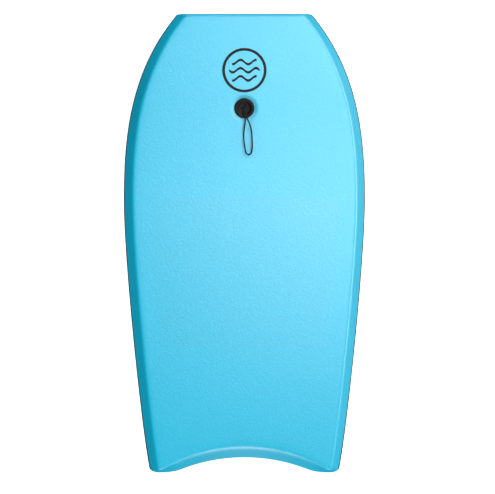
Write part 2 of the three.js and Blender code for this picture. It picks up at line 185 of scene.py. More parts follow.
# %% [markdown]
# ## The outline
#
# A shaper draws the outline with a bent batten. Two cubic Bezier curves do the same: one from the nose
# corner to the widest line, and one on to the tail corner. The tail is a hollow arc that rolls over into
# two lobes. Reading a curve at a given `s` is a lookup between many points of it.

# %% Outline
def bezier(p0, p1, p2, p3, count=600):
    """Cubic Bezier: the four points weighted by (1-t)^3, 3(1-t)^2 t, 3(1-t) t^2 and t^3."""
    t = np.linspace(0, 1, count)[:, None]
    p0, p1, p2, p3 = (np.array(p, dtype=float) for p in (p0, p1, p2, p3))
    return (1 - t) ** 3 * p0 + 3 * (1 - t) ** 2 * t * p1 + 3 * (1 - t) * t**2 * p2 + t**3 * p3


def leaning(start, angle, distance):
    """The point at a distance from a start, along an angle in degrees from the x axis."""
    return (start[0] + distance * np.cos(np.radians(angle)), start[1] + distance * np.sin(np.radians(angle)))


NOSE_POINT = (NOSE_HALF, 0)
WIDE_POINT = (HALF_WIDTH, WIDEST_S)
TAIL_POINT = (TAIL_HALF, RAIL_END_S)
nose_curve = bezier(NOSE_POINT, leaning(NOSE_POINT, 50, 170), (HALF_WIDTH, WIDEST_S - 150), WIDE_POINT)
tail_curve = bezier(WIDE_POINT, (HALF_WIDTH, WIDEST_S + 150), leaning(TAIL_POINT, -78, 80), TAIL_POINT)
outline = np.concatenate([nose_curve, tail_curve[1:]])

ROLL_X = 148
ROLL_INSET = 7
roll = bezier((ROLL_X, ROLL_INSET), (ROLL_X + 15, 1), (LOBE_HALF - 20, 0), (LOBE_HALF, 0))
corner = bezier(
    (LOBE_HALF, 0), (TAIL_HALF - 9, 1), (TAIL_HALF - 1, TAIL_CORNER - 4), (TAIL_HALF, TAIL_CORNER)
)


def arc_inset(x, sagitta, half_chord):
    """Inset of a circular arc from the line through its ends: sagitta minus the arc's own drop at x."""
    radius = (half_chord**2 + sagitta**2) / (2 * sagitta)
    return sagitta - (radius - np.sqrt(np.maximum(radius**2 - x**2, 0)))


def rounding(distance, radius):
    """How far a quarter-round edge has drawn back at a distance from its start."""
    return radius * (1 - np.sqrt(1 - np.clip(1 - distance / radius, 0, 1) ** 2))


def smooth(t):
    """Smooth step: 0 below 0, 1 above 1, and 3t^2 - 2t^3 between."""
    t = np.clip(t, 0, 1)
    return t * t * (3 - 2 * t)


def soft_min(a, b, softness):
    """The lower of two heights, with their crossing rounded by a hyperbola of that softness."""
    return (a + b - np.sqrt((a - b) ** 2 + softness**2)) / 2


def outline_half(s):
    """The batten curve itself, looked up at s."""
    return np.interp(s, outline[:, 1], outline[:, 0])


def half_width(s):
    """The outline, less a small rounding at the nose corner."""
    return outline_half(s) - 0.8 * rounding(s, NOSE_CORNER)


def slant(s):
    """How much a distance square to the rail grows when it is measured straight across the board."""
    slope = (outline_half(s + 2) - outline_half(np.maximum(s - 2, 0))) / 4
    return np.hypot(1, slope)


def tail_edge(x):
    """Where the board ends: a hollow arc in the middle, then the roll, then the corner."""
    across = np.abs(x)
    hollow = arc_inset(across, TAIL_NOTCH - ROLL_INSET, ROLL_X) + ROLL_INSET
    rolled = np.interp(across, roll[:, 0], roll[:, 1])
    cornered = np.interp(across, corner[:, 0], corner[:, 1])
    return LENGTH - np.where(across < ROLL_X, hollow, np.where(across < LOBE_HALF, rolled, cornered))


def deck_end(x):
    """Where the deck sheet stops: an arc between the lobes, and one strip's width inside them."""
    arc = LENGTH - arc_inset(np.minimum(np.abs(x), LOBE_HALF), TAIL_NOTCH + TAIL_BEVEL, LOBE_HALF)
    return soft_min(arc, tail_edge(x) - TAIL_STRIP, 2.0)


print("widest", 2 * HALF_WIDTH, "mm, nose", 2 * NOSE_HALF, "mm, tail", 2 * TAIL_HALF, "mm")

# %% [markdown]
# ## The height of the board
#
# The bottom is flat to past the middle and then lifts to the nose, which surfers call rocker. The deck
# follows it. The chines and the tail bevel are slanted planes, and the lowest of the three surfaces
# wins at each place. Taking that minimum softly gives the rounded creases of pressed foam.

# %% Heights
CHINE_CREASE = 4.5
BEVEL_CREASE = 6.0


def bottom_z(s):
    """Nose lift times the 2.2 power of the way from the flat to the nose."""
    return NOSE_LIFT * np.clip((LIFT_START_S - s) / LIFT_START_S, 0, 1) ** 2.2


def thickness(s):
    """Full thickness, thinned by a square law over the nose and over the tail."""
    nose = 14 * np.clip(1 - s / 195, 0, 1) ** 2
    tail = 5 * np.clip(1 - (LENGTH - s) / 300, 0, 1) ** 2
    return THICKNESS - nose - tail


def chine_run(s):
    """Width of the chine in plan: a smooth step from its nose value to its full value, less the lip."""
    return CHINE_AT_NOSE + (CHINE - CHINE_AT_NOSE) * smooth(s / 150) - LIP


def chine_drop(s):
    """Height of the chine: the part of the thickness above the widest line, less the rise of its foot."""
    return (1 - WIDE_LINE) * thickness(s) - FOOT_RISE


def foot_z(s):
    """Height of the chine's foot: bottom, plus the widest line's share of the thickness, plus the rise."""
    return bottom_z(s) + WIDE_LINE * thickness(s) + FOOT_RISE


def chine_foot(s, depth=0.0):
    """The x of the chine's foot, moved inwards by a depth square to the chine."""
    side = depth * np.hypot(chine_run(s), chine_drop(s)) / chine_drop(s)
    return half_width(s) - (LIP + side) * slant(s)


def deck_z(x, s, depth=0.0, rail_s=None):
    """The lower of the deck plane, the chine plane and the tail bevel, each rounded into the next."""
    rail_s = s if rail_s is None else rail_s
    plane = bottom_z(s) + thickness(s) - depth
    inward = (chine_foot(rail_s, depth) - np.abs(x)) / slant(rail_s)
    chine = foot_z(s) + inward * chine_drop(s) / chine_run(s)
    surface = soft_min(plane, chine, CHINE_CREASE)
    width = tail_edge(x) - deck_end(x)
    bevel = plane - (s - deck_end(x)) / width * chine_drop(s)
    return np.maximum(soft_min(surface, bevel, BEVEL_CREASE), foot_z(s))


print("deck height at the plug", round(float(deck_z(0, PLUG_S)), 1), "mm")

# %% [markdown]
# ## Cross lines
#
# A sheet of foam is a grid of points: rows run across the board and columns run along it. Near the tail
# the rows bend until the last one is the tail's own curve, so the grid never has to be trimmed. The
# rows are closer together towards both ends, and the columns over the chines, where the surface turns.

# %% Grids over the board
EDGE_ZONE = 34
EDGE_STEPS = 20
FLAT_STEPS = 18
FINE_HALF = 60
FINE_STEPS = 24


def place(x, s, z):
    """Points from x, the distance s from the nose edge, and height."""
    x, s, z = np.broadcast_arrays(x, s, z)
    return np.stack([x, LENGTH / 2 - s, z], axis=-1)


def rail_stations(first, count, fine=()):
    """Places along the rail, spaced by a cosine so that they crowd at both ends; one per row. Finer
    places, where they are given, take over the stretch that they cover."""
    share = (1 - np.cos(np.linspace(0, np.pi, count))) / 2
    places = first + (RAIL_END_S - first) * share
    if len(fine):
        outside = (places < fine[0] - 1) | (places > fine[-1] + 1)
        places = np.sort(np.concatenate([places[outside], fine]))
    return places[:, None]


def tail_blend(rail_s):
    """How far a row has turned into the tail curve: a smooth step from 0 before the bend to 1."""
    return smooth((rail_s - (RAIL_END_S - TAIL_BEND)) / TAIL_BEND)


def cross_s(rail_s, x, end_line):
    """A row's s: straight across, and bent by a smooth step into the end line near the tail."""
    at_end = x / half_width(rail_s) * TAIL_HALF
    return rail_s + (end_line(at_end) - RAIL_END_S) * tail_blend(rail_s)


def both_sides(half):
    """Columns from the right edge to the middle become columns from the left edge to the right one."""
    return np.concatenate([-half[:, :-1], half[:, ::-1]], axis=1)


def half_columns(s, depth=0.0):
    """Column places from the chine's foot to the middle: fine over the chine and near the middle."""
    foot = chine_foot(s, depth)
    inner = foot - EDGE_ZONE * slant(s)
    edge = foot + (inner - foot) * np.linspace(0, 1, EDGE_STEPS, endpoint=False)
    flat = inner + (FINE_HALF - inner) * np.linspace(0, 1, FLAT_STEPS, endpoint=False)
    fine = FINE_HALF * np.linspace(1, 0, FINE_STEPS + 1) + 0 * s
    return np.concatenate([edge, flat, fine], axis=1)


def deck_grid(first, count, depth):
    """The deck's surface at a depth, from a first station to the end of the deck sheet. Only the upper
    side dips under the plug: the foam is squeezed thinner there."""
    rail_s = rail_stations(first, count, np.linspace(PLUG_S - FINE_HALF, PLUG_S + FINE_HALF, 49))
    x = both_sides(half_columns(rail_s, depth))
    s = cross_s(rail_s, x, deck_end) - GLUE_GAP / 2 * tail_blend(rail_s)
    return place(x, s, deck_z(x, s, depth, rail_s) - (dimple(x, s) if depth == 0 else 0))


def dimple(x, s):
    """The plug squeezes the foam: full depth under the flange, then a smooth step up to nothing."""
    out = np.hypot(x, s - PLUG_S) - (FLANGE_R - 1)
    return DIMPLE_DEPTH * (1 - smooth(out / DIMPLE_WIDTH))

# %% [markdown]
# ## The leash plug's own frame
#
# The plug is screwed in square to the deck, which slopes up towards the nose there, so the plug's parts
# are drawn upright about their own middle and then tilted and moved together.

# %% Plug frame
plug_slope = float(np.arctan((bottom_z(PLUG_S - 1) - bottom_z(PLUG_S + 1)) / 2))
plug_height = float(bottom_z(PLUG_S) + thickness(PLUG_S))
STEM_R = 12.5
HOLE_R = STEM_R + 0.6


def at_plug(points):
    """Turns points about X by the deck's slope, then moves them to the plug's place on the deck."""
    x, y, z = np.moveaxis(np.asarray(points, dtype=float), -1, 0)
    up, along = np.sin(plug_slope), np.cos(plug_slope)
    return np.stack([x, y * along - z * up + LENGTH / 2 - PLUG_S, y * up + z * along + plug_height], axis=-1)


def circle(radius, count=64):
    """Points of a circle, as x and y columns."""
    turn = np.linspace(0, 2 * np.pi, count, endpoint=False)
    return np.stack([radius * np.cos(turn), radius * np.sin(turn)], axis=1)


def prism(name, outline_xy, low, high):
    """A closed upright prism in the plug's frame: the outline at two heights, its walls and two lids."""
    count = len(outline_xy)
    level = np.full((count, 1), 1.0)
    points = np.concatenate([np.hstack([outline_xy, level * low]), np.hstack([outline_xy, level * high])])
    ring = np.arange(count)
    walls = quads(np.stack([np.append(ring, 0), np.append(ring, 0) + count], axis=1))
    lids = [ring[::-1][None, :], (ring + count)[None, :]]
    return add_piece(name, at_plug(points), [walls, *lids])


print("plug tilt", round(float(np.degrees(plug_slope)), 2), "degrees")

# %% [markdown]
# ## The string
#
# The leash is tied to a loop of thin braided string, which goes round the plug's cross bar, over the
# rim, and springs out over the deck to a long drop shape. It is one smooth curve through a few listed
# points, so it keeps the stiff, even sweep of real string. A braided tube is swept along it.

# %% String loop
CORD = 3.2
BAR_R = 2.5
BAR_Z = 1.0
WRAP_R = BAR_R + GLUE_GAP + CORD / 2
LOOP_ROUTE = np.array([
    [1.7, -0.6, 5.4],
    [1.7, -5.8, 5.4],
    [2.8, -13, 5.5],
    [5.2, -20, 5.9],
    [8.0, -27, 6.5],
    [11.2, -34, 6.6],
    [14.2, -42, 6.6],
    [16.2, -51, 6.4],
    [17.3, -61, 6.6],
    [18.0, -72, 6.9],
    [18.4, -83, 7.2],
    [18.2, -92, 7.5],
    [17.6, -98.2, 7.7],
    [16.4, -103.3, 7.9],
    [13.8, -106.4, 8.0],
    [10.2, -107.5, 8.0],
    [6.6, -106.4, 8.0],
    [4.0, -103.3, 7.9],
    [2.3, -97.6, 7.7],
    [1.0, -90, 7.4],
    [-0.6, -80, 7.0],
    [-1.4, -69, 6.7],
    [-1.2, -58, 6.4],
    [-0.2, -47, 6.5],
    [1.2, -37, 6.6],
    [2.2, -28, 6.5],
    [1.7, -20.5, 5.9],
    [-0.6, -13, 5.5],
    [-1.7, -5.8, 5.4],
    [-1.7, -0.6, 5.4],
])


def through(points, steps=12):
    """Centripetal Catmull-Rom curve: knots spaced by the square root of each step's length, and each
    stretch blended from the lines through its four nearest points."""
    before, after = 2 * points[:1] - points[1:2], 2 * points[-1:] - points[-2:-1]
    p = np.concatenate([before, points, after])
    knot = np.concatenate([[0], np.cumsum(np.linalg.norm(np.diff(p, axis=0), axis=1) ** 0.5)])
    t0, t1, t2, t3 = (knot[i : len(p) - 3 + i, None, None] for i in range(4))
    p0, p1, p2, p3 = (p[i : len(p) - 3 + i, None, :] for i in range(4))
    t = t1 + (t2 - t1) * np.linspace(0, 1, steps, endpoint=False)[None, :, None]
    a1 = ((t1 - t) * p0 + (t - t0) * p1) / (t1 - t0)
    a2 = ((t2 - t) * p1 + (t - t1) * p2) / (t2 - t1)
    a3 = ((t3 - t) * p2 + (t - t2) * p3) / (t3 - t2)
    b1 = ((t2 - t) * a1 + (t - t0) * a2) / (t2 - t0)
    b2 = ((t3 - t) * a2 + (t - t1) * a3) / (t3 - t1)
    curve = ((t2 - t) * b1 + (t - t1) * b2) / (t2 - t1)
    return np.concatenate([curve.reshape(-1, 3), points[-1:]])


def unit(v):
    """Each vector divided by its own length."""
    return v / np.linalg.norm(v, axis=-1, keepdims=True)


def tube(name, path, radius, up, sides=16, closed=False):
    """A round section carried along a path: centre + radius (side cos a + over sin a), where over is
    the up direction made square to the path. The UV map holds the length and the turn, in millimetres."""
    ahead = np.roll(path, -1, axis=0) - np.roll(path, 1, axis=0)
    if not closed:
        ahead[0], ahead[-1] = path[1] - path[0], path[-1] - path[-2]
    forward = unit(ahead)
    over = unit(up - np.sum(up * forward, axis=1, keepdims=True) * forward)
    side = np.cross(forward, over)
    turn = np.linspace(0, 2 * np.pi, sides, endpoint=False)[None, :, None]
    rings = path[:, None] + radius * (side[:, None] * np.cos(turn) + over[:, None] * np.sin(turn))
    count = len(path)
    number = np.arange(count * sides).reshape(count, sides)
    number = np.concatenate([number, number[:, :1]], axis=1)
    number = np.concatenate([number, number[:1]]) if closed else number
    faces = [quads(number)]
    if not closed:
        faces += [number[:1, :-1], number[-1:, -2::-1]]
    piece = add_piece(name, rings.reshape(-1, 3), faces)
    along = np.concatenate([[0], np.cumsum(np.linalg.norm(np.diff(path, axis=0), axis=1))])
    cord_uv(piece, along, sides, radius)
    return piece


def cord_uv(piece, along, sides, radius):
    """u is the length along the cord and v the distance round it, both in millimetres, for each corner."""
    corner = np.zeros(len(piece.data.loops), dtype=np.int32)
    piece.data.loops.foreach_get("vertex_index", corner)
    round_step = 2 * np.pi * radius / sides
    place_round = corner % sides
    poly_start = np.zeros(len(piece.data.polygons), dtype=np.int32)
    poly_size = np.zeros(len(piece.data.polygons), dtype=np.int32)
    piece.data.polygons.foreach_get("loop_start", poly_start)
    piece.data.polygons.foreach_get("loop_total", poly_size)
    first = np.repeat(np.minimum.reduceat(place_round, poly_start), poly_size)
    last = np.repeat(np.maximum.reduceat(place_round, poly_start), poly_size)
    wraps = (last - first > sides / 2) & (place_round == 0)
    v = (place_round + wraps * sides) * round_step
    u = along[np.minimum(corner // sides, len(along) - 1)]
    layer = piece.data.uv_layers.new(name="cord")
    layer.data.foreach_set("uv", np.stack([u, v], axis=1).ravel())


loop_path = at_plug(through(LOOP_ROUTE))
plug_up = at_plug([0, 0, 1]) - at_plug([0, 0, 0])
string_loop = tube("string_loop", loop_path, CORD / 2, plug_up[None, :], sides=16)

# %% [markdown]
# ## The turns round the cross bar
#
# Each side of the loop takes a full turn round the bar before it runs off its top. The turns are made
# as two rings, which look the same however far the string is swung round the bar.

# %% String hitch
def wrap_ring(name, x):
    """A ring of string round the bar: the tube's path is a circle in the plane of one x."""
    turn = np.linspace(0, 2 * np.pi, 48, endpoint=False)
    out = np.stack([np.zeros_like(turn), np.cos(turn), np.sin(turn)], axis=1)
    path = at_plug(np.array([x, 0, BAR_Z]) + WRAP_R * out)
    return tube(name, path, CORD / 2, at_plug(out) - at_plug(np.zeros(3)), sides=14, closed=True)


def join(name, pieces):
    """Makes one piece of several."""
    bpy.ops.object.select_all(action="DESELECT")
    for piece in pieces:
        piece.select_set(True)
    bpy.context.view_layer.objects.active = pieces[0]
    bpy.ops.object.join()
    pieces[0].name = name
    return pieces[0]


string_hitch = join("string_hitch", [wrap_ring("turn_right", 1.7), wrap_ring("turn_left", -1.7)])
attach(string_loop, "string")
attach(string_hitch, "string")
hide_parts("leash_loop")
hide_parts("leash_hitch")
print("hitch rings", round(2 * (WRAP_R + CORD / 2), 1), "mm across")

# %% [markdown]
# ## The deck sheet
#
# The deck is one sheet of soft foam, about 5 mm thick, that wraps down over both chines. Its upper and
# lower surfaces come from the same height function at two depths, so the sheet is even. A round hole
# lets the leash plug through.

# %% Deck
DECK_ROWS = 190
deck_start = NOSE_STRIP + GLUE_GAP
deck = slab(
    "deck_sheet", deck_grid(deck_start, DECK_ROWS, 0), deck_grid(deck_start, DECK_ROWS, SKIN)
)
combine(deck, prism("hole", circle(HOLE_R), -20, 20), "DIFFERENCE")
soften(deck, 0.5)
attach(deck, "board")
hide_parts("deck_skin")
print("deck", len(deck.data.polygons), "faces")

# %% [markdown]
# ## The nose and tail strips
#
# Strips of the same blue foam close both ends. They carry on the deck's surface and stand between the
# rails. The nose strip rounds off forwards, and the tail strip slopes down to the hollow tail edge.

# %% End strips
NOSE_ROWS = 14
TAIL_ROWS = 26


def strip_underside(upper_half, s, rise=0.0):
    """Columns under an end strip: below the deck sheet's foot first, then along the slick."""
    edge = half_width(s) - (TUCK + RAIL + GLUE_GAP) * slant(s)
    low = upper_half[:, 1:] * edge / upper_half[:, 1:2]
    x = both_sides(np.concatenate([chine_foot(s, SKIN + GLUE_GAP), low], axis=1))
    outermost = np.zeros(x.shape[1], dtype=bool)
    outermost[[0, -1]] = True
    return x, lambda along: np.where(outermost, foot_z(along), bottom_z(along) + SLICK + GLUE_GAP + rise)


def make_nose_strip():
    """Rows from the nose edge back, spaced by a cosine; the height shrinks to the foot by a quarter round."""
    s = NOSE_STRIP * (1 - np.cos(np.linspace(0, np.pi / 2, NOSE_ROWS)))[:, None]
    half = half_columns(s)
    x = both_sides(half)
    keep = 1 - rounding(s, NOSE_ROUND) / chine_drop(s)
    z = foot_z(s) + (deck_z(x, s) - foot_z(s)) * keep
    low_x, low_z = strip_underside(half, s, rounding(s, 3))
    return slab("nose_strip", place(x, s, z), place(low_x, s, low_z(s)))


def make_tail_strip():
    """Rows from the deck sheet's end to the tail edge, in equal shares of the bevel's width at each x."""
    share = np.linspace(0, 1, TAIL_ROWS)[:, None]
    rail_s = np.full((TAIL_ROWS, 1), float(RAIL_END_S))
    half = half_columns(rail_s)
    x = both_sides(half)
    s = deck_end(x) + GLUE_GAP / 2 + share * (tail_edge(x) - deck_end(x) - GLUE_GAP / 2)
    z = deck_z(x, s, 0.0, rail_s)
    low_x, low_z = strip_underside(half, rail_s)
    width = tail_edge(low_x) - deck_end(low_x)
    reach = width - np.minimum(TUCK, 0.4 * width) - GLUE_GAP / 2
    low_s = deck_end(low_x) + GLUE_GAP / 2 + share * reach
    return slab("tail_strip", place(x, s, z), place(low_x, low_s, low_z(low_s)))


nose_strip = make_nose_strip()
tail_strip = make_tail_strip()
for strip, node in ((nose_strip, "nose_bumper"), (tail_strip, "tail_bumper")):
    soften(strip, 0.6)
    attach(strip, "board")
    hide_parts(node)
print("strips", len(nose_strip.data.polygons), "and", len(tail_strip.data.polygons), "faces")

# %% [markdown]
# ## The rails
#
# A strip of dense black foam runs along each side under the deck sheet. Its rounded lip stands about
# 2 mm proud of the sheet, so from above it draws a thin dark line round the board. Each strip is a
# profile with an outer and an inner side, carried along the rail.

# %% Rails
def rail_profiles(s):
    """Offsets from the widest line and heights, outer and inner side, from the lip down to the slick."""
    low = bottom_z(s) + SLICK + GLUE_GAP
    wide = bottom_z(s) + WIDE_LINE * thickness(s)
    fall = np.linspace(0, 1, 7)
    lip = np.array([[-0.9, 1.2], [-0.3, 0.95], [0, 0.2]])
    outer_x = np.concatenate([lip[:, 0], -0.1 - (TUCK - 0.1) * fall**1.15])
    outer_z = np.concatenate([wide + lip[:, 1], (wide - 0.9) + (low - wide + 0.9) * fall], axis=1)
    top_x = (chine_foot(s, SKIN) - half_width(s)) / slant(s)
    shares = np.linspace(0, 1, len(outer_x))
    inner_x = top_x + (-(TUCK + RAIL) - top_x) * shares
    inner_z = wide + 1.2 + (low - wide - 1.2) * shares
    return outer_x, outer_z, inner_x, inner_z


def make_rail(name, side):
    """The profiles carried along the rail, each pushed outwards by its offset times the slant."""
    rail_s = rail_stations(0.8, 200)
    outer_x, outer_z, inner_x, inner_z = rail_profiles(rail_s)
    grids = []
    for offset, z in ((outer_x, outer_z), (inner_x, inner_z)):
        x = half_width(rail_s) + offset * slant(rail_s)
        s = cross_s(rail_s, x, tail_edge) - GLUE_GAP * tail_blend(rail_s)
        lift = bottom_z(s) + WIDE_LINE * thickness(s) - bottom_z(rail_s) - WIDE_LINE * thickness(rail_s)
        grids.append(place(side * x, s, z + lift))
    outer, inner = grids
    return slab(name, outer, inner) if side > 0 else slab(name, inner, outer)


for name, side in (("rail_strip_left", -1), ("rail_strip_right", 1)):
    rail = make_rail(name, side)
    soften(rail, 0.4)
    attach(rail, "board")
    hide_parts(name.replace("_strip", ""))
    print(name, len(rail.data.polygons), "faces")

# %% [markdown]
# ## The slick
#
# The bottom is one sheet of smooth plastic, a little over a millimetre thick, bent to the rocker. It is
# drawn as a sheet between two grids that differ only in height.

# %% Slick sheet
def slick_end(x):
    """Where the slick stops: the tail edge, less the tuck or 0.4 of the bevel's width, whichever is less."""
    width = tail_edge(x) - deck_end(x)
    return tail_edge(x) - np.minimum(TUCK, 0.4 * width)


def slick_grid(rise):
    """The bottom surface, inside the tuck, lifted by a rise."""
    rail_s = rail_stations(3, 120)
    x = both_sides((half_width(rail_s) - TUCK * slant(rail_s)) * np.linspace(1, 0, 21))
    s = cross_s(rail_s, x, slick_end)
    return place(x, s, bottom_z(s) + rise)


slick = slab("slick_sheet", slick_grid(SLICK), slick_grid(0))
combine(slick, prism("hole", circle(HOLE_R), -100, 0), "DIFFERENCE")
soften(slick, 0.3)
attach(slick, "board")
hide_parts("slick_bottom")
print("slick", len(slick.data.polygons), "faces")

# %% [markdown]
# ## The leash plug
#
# The upper half of the plug is a moulding with a low domed flange, a dished cup, and a cross bar over a
# slot that leaves room for the string. It is a turned profile with a slot cut out and a bar joined in.
# The lower half, seen only through the slot and from below, is a turned profile too.

# %% Plug mouldings
def revolve(name, profile, segments=96):
    """A profile of radius and height pairs, on the axis at both ends, turned about the plug's axis."""
    profile = np.asarray(profile, dtype=float)
    turn = np.linspace(0, 2 * np.pi, segments, endpoint=False)
    radius, height = profile[1:-1, 0, None], profile[1:-1, 1, None]
    rings = np.stack(np.broadcast_arrays(radius * np.cos(turn), radius * np.sin(turn), height), axis=-1)
    number = np.arange(rings.shape[0] * segments).reshape(-1, segments)
    wrapped = np.concatenate([number, number[:, :1]], axis=1)
    first, last = number.size, number.size + 1
    near = np.stack([np.full(segments, first), wrapped[0, :-1], wrapped[0, 1:]], axis=1)
    far = np.stack([np.full(segments, last), wrapped[-1, 1:], wrapped[-1, :-1]], axis=1)
    poles = np.array([[0, 0, profile[0, 1]], [0, 0, profile[-1, 1]]])
    points = np.concatenate([rings.reshape(-1, 3), poles])
    return add_piece(name, at_plug(points), [quads(wrapped, turned=True), near[:, ::-1], far[:, ::-1]])


def arc(centre, radius, start, end, count=7):
    """Points of an arc of a profile, between two angles in degrees."""
    angle = np.radians(np.linspace(start, end, count))
    return np.stack([centre[0] + radius * np.cos(angle), centre[1] + radius * np.sin(angle)], axis=1)


SEAT = 0.8
STEM_INNER_R = 9.8
STEM_DEPTH = 34
WEB = (-3.5, 0.5)
SLOT_HALF = (3.9, 8.4)
BAR_HALF = 8.2
COIN_HALF = (11, 1.2)
SKIRT = -DIMPLE_DEPTH + 0.3

top_profile = np.concatenate([
    [[0, WEB[0]], [STEM_INNER_R, WEB[0]], [STEM_INNER_R, -STEM_DEPTH], [STEM_R, -STEM_DEPTH]],
    [[STEM_R, SKIRT], [FLANGE_R - 1.2, SKIRT]],
    arc((FLANGE_R - 1.4, SEAT + 0.9), 1.4, -20, 70),
    arc((19.4, -6.2), 9.8, 72, 92, 8),
    arc((18.2, 1.4), 2.2, 100, 150, 6),
    arc((11.2, 5.6), 5.0, -40, -88, 8),
    [[8, WEB[1]], [0, WEB[1]]],
])
plug_top = revolve("plug_upper_half", top_profile)

end_turn = np.linspace(0, np.pi, 17)
stadium = np.stack([np.cos(end_turn), np.sin(end_turn)], axis=1) * SLOT_HALF[0]
stadium[:, 1] += SLOT_HALF[1] - SLOT_HALF[0]
combine(plug_top, prism("slot", np.concatenate([stadium, -stadium]), -9, 6), "DIFFERENCE")

bar_path = at_plug(np.array([[-BAR_HALF, 0, BAR_Z], [BAR_HALF, 0, BAR_Z]]))
bar = tube("bar", bar_path, BAR_R, plug_up[None, :], sides=32)
combine(plug_top, bar, "UNION")
soften(plug_top, 0.35, segments=3, angle=35)

plug_depth = THICKNESS * np.cos(plug_slope)
base_top = -plug_depth - SEAT
plug_base = revolve("plug_lower_half", np.concatenate([
    [[0, base_top - 2.6]],
    arc((17.4, base_top - 1.4), 1.2, -90, -60, 4),
    [[20, base_top - 0.8], [20, base_top]],
    [[STEM_INNER_R - 0.3, base_top], [STEM_INNER_R - 0.3, -14], [0, -14]],
]))
coin_slot = np.array([[-1, -1], [1, -1], [1, 1], [-1, 1]]) * COIN_HALF
combine(plug_base, prism("coin_slot", coin_slot, base_top - 9, base_top - 1.45), "DIFFERENCE")
soften(plug_base, 0.3)

plug_rows = [
    (plug_top, "leash_plug_top", "black_nylon"),
    (plug_base, "leash_plug_bottom", "blue_nylon"),
]
for piece, node, slot in plug_rows:
    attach(piece, "board")
    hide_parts(node)
    print(piece.name, len(piece.data.polygons), "faces")

# %% [markdown]
# ## The printed emblem
#
# A dark ring is screen printed on the deck in front of the plug, here round three plain waves. Ink has
# almost no thickness, so it is drawn as thin closed slabs that follow the deck and stand 0.12 mm proud.

# %% Print
PRINT_S = 131
RING_R = 48.3
STROKE = 6.4
WAVE_STROKE = 6.0
WAVE_LENGTH = 36
WAVE_HEIGHT = 5
INK_RISE = 0.12
INK_ROOT = -0.15


def on_deck(x, s, rise):
    """Points that follow the deck at a height above it."""
    return place(x, s, deck_z(x, s) + rise)


def print_ring():
    """Angles along the rows and two radii across, closed on itself by repeating the first row."""
    turn = np.linspace(0, 2 * np.pi, 161)[:, None]
    radius = RING_R + STROKE / 2 * np.linspace(-1, 1, 4)[None, :]
    x, s = radius * np.sin(turn), PRINT_S - radius * np.cos(turn)
    return slab("print_ring", on_deck(x, s, INK_RISE), on_deck(x, s, INK_ROOT))


def print_wave(name, shift, reach):
    """A sine line of the given half-length, with its width drawn in to round ends by a square root."""
    along = np.sin(np.linspace(-np.pi / 2, np.pi / 2, 90))[:, None]
    across = np.linspace(-1, 1, 4)[None, :]
    taper = np.sqrt(np.clip(1 - np.maximum(np.abs(along) * reach - reach + WAVE_STROKE / 2, 0) ** 2
                            / (WAVE_STROKE / 2) ** 2, 0.02, 1))
    x = along * reach + 0 * across
    s = PRINT_S + shift + WAVE_HEIGHT * np.sin(2 * np.pi * x / WAVE_LENGTH) + across * taper * WAVE_STROKE / 2
    return slab(name, on_deck(x, s, INK_RISE), on_deck(x, s, INK_ROOT))


wave_rows = ((-19, 29), (0, 36), (19, 29))
waves = [print_wave(f"wave_{i}", shift, reach) for i, (shift, reach) in enumerate(wave_rows)]
deck_print = join("deck_print", [print_ring(), *waves])
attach(deck_print, "board")
print("print ring", 2 * RING_R + STROKE, "mm across")

# %% [markdown]
# ## Materials
#
# Each finish starts from what the real one is. Colours are given as sRGB hex values, as a picture
# editor shows them, and turned to the linear values that the shader wants. Pattern scales are real
# sizes in millimetres. One small function adds a node with its settings and links.

# %% Material helpers
def linear(hex_colour):
    """sRGB to linear: v / 12.92 up to 0.04045, and ((v + 0.055) / 1.055) to the power 2.4 above it."""
    v = np.array([int(hex_colour[i : i + 2], 16) for i in (1, 3, 5)]) / 255
    return (*np.where(v <= 0.04045, v / 12.92, ((v + 0.055) / 1.055) ** 2.4).tolist(), 1.0)


def add(tree, kind, inputs=None, **settings):
    """Adds a node, sets its properties, and gives each input a value or a link from an output."""
    made = tree.nodes.new(kind)
    for name, value in settings.items():
        setattr(made, name, value)
    for key, value in (inputs or {}).items():
        if isinstance(value, bpy.types.NodeSocket):
            tree.links.new(value, made.inputs[key])
        else:
            made.inputs[key].default_value = value
    return made


def new_material(name, **shader):
    """A material with one Principled shader; the given sockets are set on the shader itself."""
    material = bpy.data.materials.new(name)
    material.use_nodes = True
    tree = material.node_tree
    skin = tree.nodes["Principled BSDF"]
    for key, value in shader.items():
        skin.inputs[key.replace("_", " ")].default_value = value
    return material, tree, skin


def per_mm(size):
    """Texture scale that gives features of a size in millimetres on Object coordinates in metres."""
    return 1 / (size * MM)


def link(tree, source, skin, socket):
    """Joins an output to one of the shader's sockets."""
    tree.links.new(source, skin.inputs[socket])
